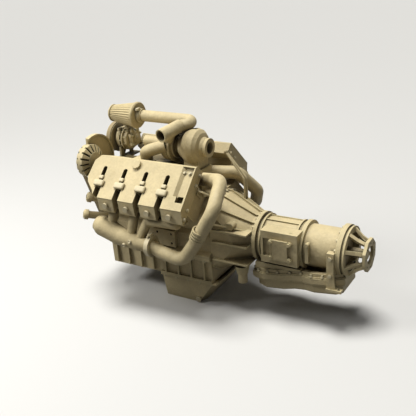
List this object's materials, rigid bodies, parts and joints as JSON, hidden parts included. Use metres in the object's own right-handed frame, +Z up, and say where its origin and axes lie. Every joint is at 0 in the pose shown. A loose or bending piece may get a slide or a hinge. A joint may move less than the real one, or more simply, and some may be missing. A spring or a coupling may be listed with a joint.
{
  "type": "turbocharged V8 engine with automatic gearbox",
  "caption": "Turbocharged V engine joined to its automatic gearbox, with working crankshaft, camshaft, pistons, belt drive, turbocharger rotor and output shaft.",
  "frame": {"origin": "centre of the tail flange's rear face, on the crankshaft axis", "axes": "+X to the rear along the crankshaft axis, +Y to the right-hand bank, +Z up"},
  "size_m": [1.425, 0.72, 0.919],
  "materials": {
    "casting": "matte",
    "cover_casting": "matte",
    "tan_steel": "matte",
    "bolt_steel": "satin",
    "pleats": "matte",
    "belt_rubber": "matte",
    "iron": "matte",
    "machined_steel": "satin",
    "piston_alloy": "satin",
    "gasket_sheet": "matte"
  },
  "bodies": {
    "engine": {"engine_block": "casting", "main_bearings": "machined_steel", "timing_cover": "cover_casting", "head_gaskets": "gasket_sheet", "cylinder_head_left": "casting", "cylinder_head_right": "casting", "valve_cover_left": "cover_casting", "valve_cover_right": "cover_casting", "cover_bolts": "bolt_steel", "lifting_eye": "tan_steel", "exhaust_manifolds": "casting", "pipe_clamps": "bolt_steel", "up_pipes": "tan_steel", "turbo_pedestal": "casting", "turbine_housing": "casting", "bearing_housing": "casting", "compressor_housing": "cover_casting", "air_filter": "pleats", "intake_pipes": "tan_steel", "intake_plenum": "cover_casting", "accessory_bracket": "cover_casting", "water_pump": "cover_casting", "alternator_housing": "cover_casting", "ac_compressor": "cover_casting", "serpentine_belt": "belt_rubber", "upper_oil_pan": "cover_casting", "oil_sump": "tan_steel", "bell_housing": "cover_casting", "main_case": "cover_casting", "side_cover": "cover_casting", "rear_case": "cover_casting", "tail_cage": "cover_casting", "transmission_pan": "tan_steel", "spin_on_filter": "tan_steel", "mount_bracket": "tan_steel", "dipstick_tube": "tan_steel", "flange_bolts": "bolt_steel"},
    "crank": {"crankshaft": "machined_steel", "crank_gear": "machined_steel", "crank_damper": "tan_steel", "torque_converter": "machined_steel"},
    "cam": {"camshaft": "machined_steel", "cam_gear": "machined_steel"},
    "turbo_rotor": {"turbo_rotor": "machined_steel"},
    "output_shaft": {"output_shaft": "machined_steel"},
    "selector_lever": {"selector_lever": "tan_steel"},
    "filler_cap": {"oil_filler_cap": "cover_casting"},
    "water_pump_pulley": {"water_pump_pulley": "tan_steel"},
    "alternator_pulley": {"alternator_pulley": "tan_steel"},
    "ac_pulley": {"ac_pulley": "tan_steel"},
    "tensioner_arm": {"tensioner_arm": "cover_casting"},
    "tensioner_pulley": {"tensioner_pulley": "tan_steel"},
    "piston_left_1": {"piston_left_1": "piston_alloy"},
    "piston_left_2": {"piston_left_2": "piston_alloy"},
    "piston_left_3": {"piston_left_3": "piston_alloy"},
    "piston_left_4": {"piston_left_4": "piston_alloy"},
    "piston_right_1": {"piston_right_1": "piston_alloy"},
    "piston_right_2": {"piston_right_2": "piston_alloy"},
    "piston_right_3": {"piston_right_3": "piston_alloy"},
    "piston_right_4": {"piston_right_4": "piston_alloy"}
  },
  "joints": [
    {"name": "crank_turn", "type": "hinge", "parent": "engine", "child": "crank", "pos_m": [-0.974, 0, 0], "axis": [1, 0, 0], "continuous": true},
    {"name": "cam_turn", "type": "hinge", "parent": "engine", "child": "cam", "pos_m": [-0.974, 0, 0.1575], "axis": [1, 0, 0], "continuous": true},
    {"name": "water_pump_turn", "type": "hinge", "parent": "engine", "child": "water_pump_pulley", "pos_m": [-1.401, -0.008, 0.205], "axis": [1, 0, 0], "continuous": true},
    {"name": "alternator_turn", "type": "hinge", "parent": "engine", "child": "alternator_pulley", "pos_m": [-1.401, -0.172, 0.326], "axis": [1, 0, 0], "continuous": true},
    {"name": "ac_turn", "type": "hinge", "parent": "engine", "child": "ac_pulley", "pos_m": [-1.401, 0.11, 0.364], "axis": [1, 0, 0], "continuous": true},
    {"name": "tensioner_swing", "type": "hinge", "parent": "engine", "child": "tensioner_arm", "pos_m": [-1.379, 0.088, 0.232], "axis": [1, 0, 0], "range_deg": [0, 15], "stiffness_Nm_per_rad": 20, "springref_deg": -20.05},
    {"name": "tensioner_pulley_turn", "type": "hinge", "parent": "tensioner_arm", "child": "tensioner_pulley", "pos_m": [-1.401, 0.128, 0.16], "axis": [1, 0, 0], "continuous": true},
    {"name": "turbo_spin", "type": "hinge", "parent": "engine", "child": "turbo_rotor", "pos_m": [-0.92, 0, 0.4], "axis": [1, 0, 0], "continuous": true},
    {"name": "output_shaft_turn", "type": "hinge", "parent": "engine", "child": "output_shaft", "pos_m": [-0.13, 0, 0], "axis": [1, 0, 0], "continuous": true},
    {"name": "selector_swing", "type": "hinge", "parent": "engine", "child": "selector_lever", "pos_m": [-0.353, 0.104, -0.03], "axis": [0, 1, 0], "range_deg": [-18, 22]},
    {"name": "filler_cap_lift", "type": "slide", "parent": "engine", "child": "filler_cap", "axis": [0, -0.7071, 0.7071], "range_m": [0, 0.03]},
    {"name": "piston_left_1_slide", "type": "slide", "parent": "engine", "child": "piston_left_1", "axis": [0, -0.7071, 0.7071], "range_m": [-0.08036, 0.01864]},
    {"name": "piston_left_2_slide", "type": "slide", "parent": "engine", "child": "piston_left_2", "axis": [0, -0.7071, 0.7071], "range_m": [-0.08036, 0.01864]},
    {"name": "piston_left_3_slide", "type": "slide", "parent": "engine", "child": "piston_left_3", "axis": [0, -0.7071, 0.7071], "range_m": [-0.01036, 0.08864]},
    {"name": "piston_left_4_slide", "type": "slide", "parent": "engine", "child": "piston_left_4", "axis": [0, -0.7071, 0.7071], "range_m": [-0.01036, 0.08864]},
    {"name": "piston_right_1_slide", "type": "slide", "parent": "engine", "child": "piston_right_1", "axis": [0, 0.7071, 0.7071], "range_m": [-0.08036, 0.01864]},
    {"name": "piston_right_2_slide", "type": "slide", "parent": "engine", "child": "piston_right_2", "axis": [0, 0.7071, 0.7071], "range_m": [-0.01036, 0.08864]},
    {"name": "piston_right_3_slide", "type": "slide", "parent": "engine", "child": "piston_right_3", "axis": [0, 0.7071, 0.7071], "range_m": [-0.08036, 0.01864]},
    {"name": "piston_right_4_slide", "type": "slide", "parent": "engine", "child": "piston_right_4", "axis": [0, 0.7071, 0.7071], "range_m": [-0.01036, 0.08864]}
  ],
  "couplings": [
    {"joint": "cam_turn", "follows": "crank_turn", "ratio": -0.5},
    {"joint": "water_pump_turn", "follows": "crank_turn", "ratio": -1.4},
    {"joint": "alternator_turn", "follows": "crank_turn", "ratio": 2.625},
    {"joint": "ac_turn", "follows": "crank_turn", "ratio": 1.1351},
    {"joint": "tensioner_pulley_turn", "follows": "crank_turn", "ratio": -2.2105},
    {"joint": "piston_right_3_slide", "follows": "piston_left_1_slide", "ratio": 1},
    {"joint": "piston_right_1_slide", "follows": "piston_left_2_slide", "ratio": 1},
    {"joint": "piston_right_4_slide", "follows": "piston_left_3_slide", "ratio": 1},
    {"joint": "piston_right_2_slide", "follows": "piston_left_4_slide", "ratio": 1}
  ]
}
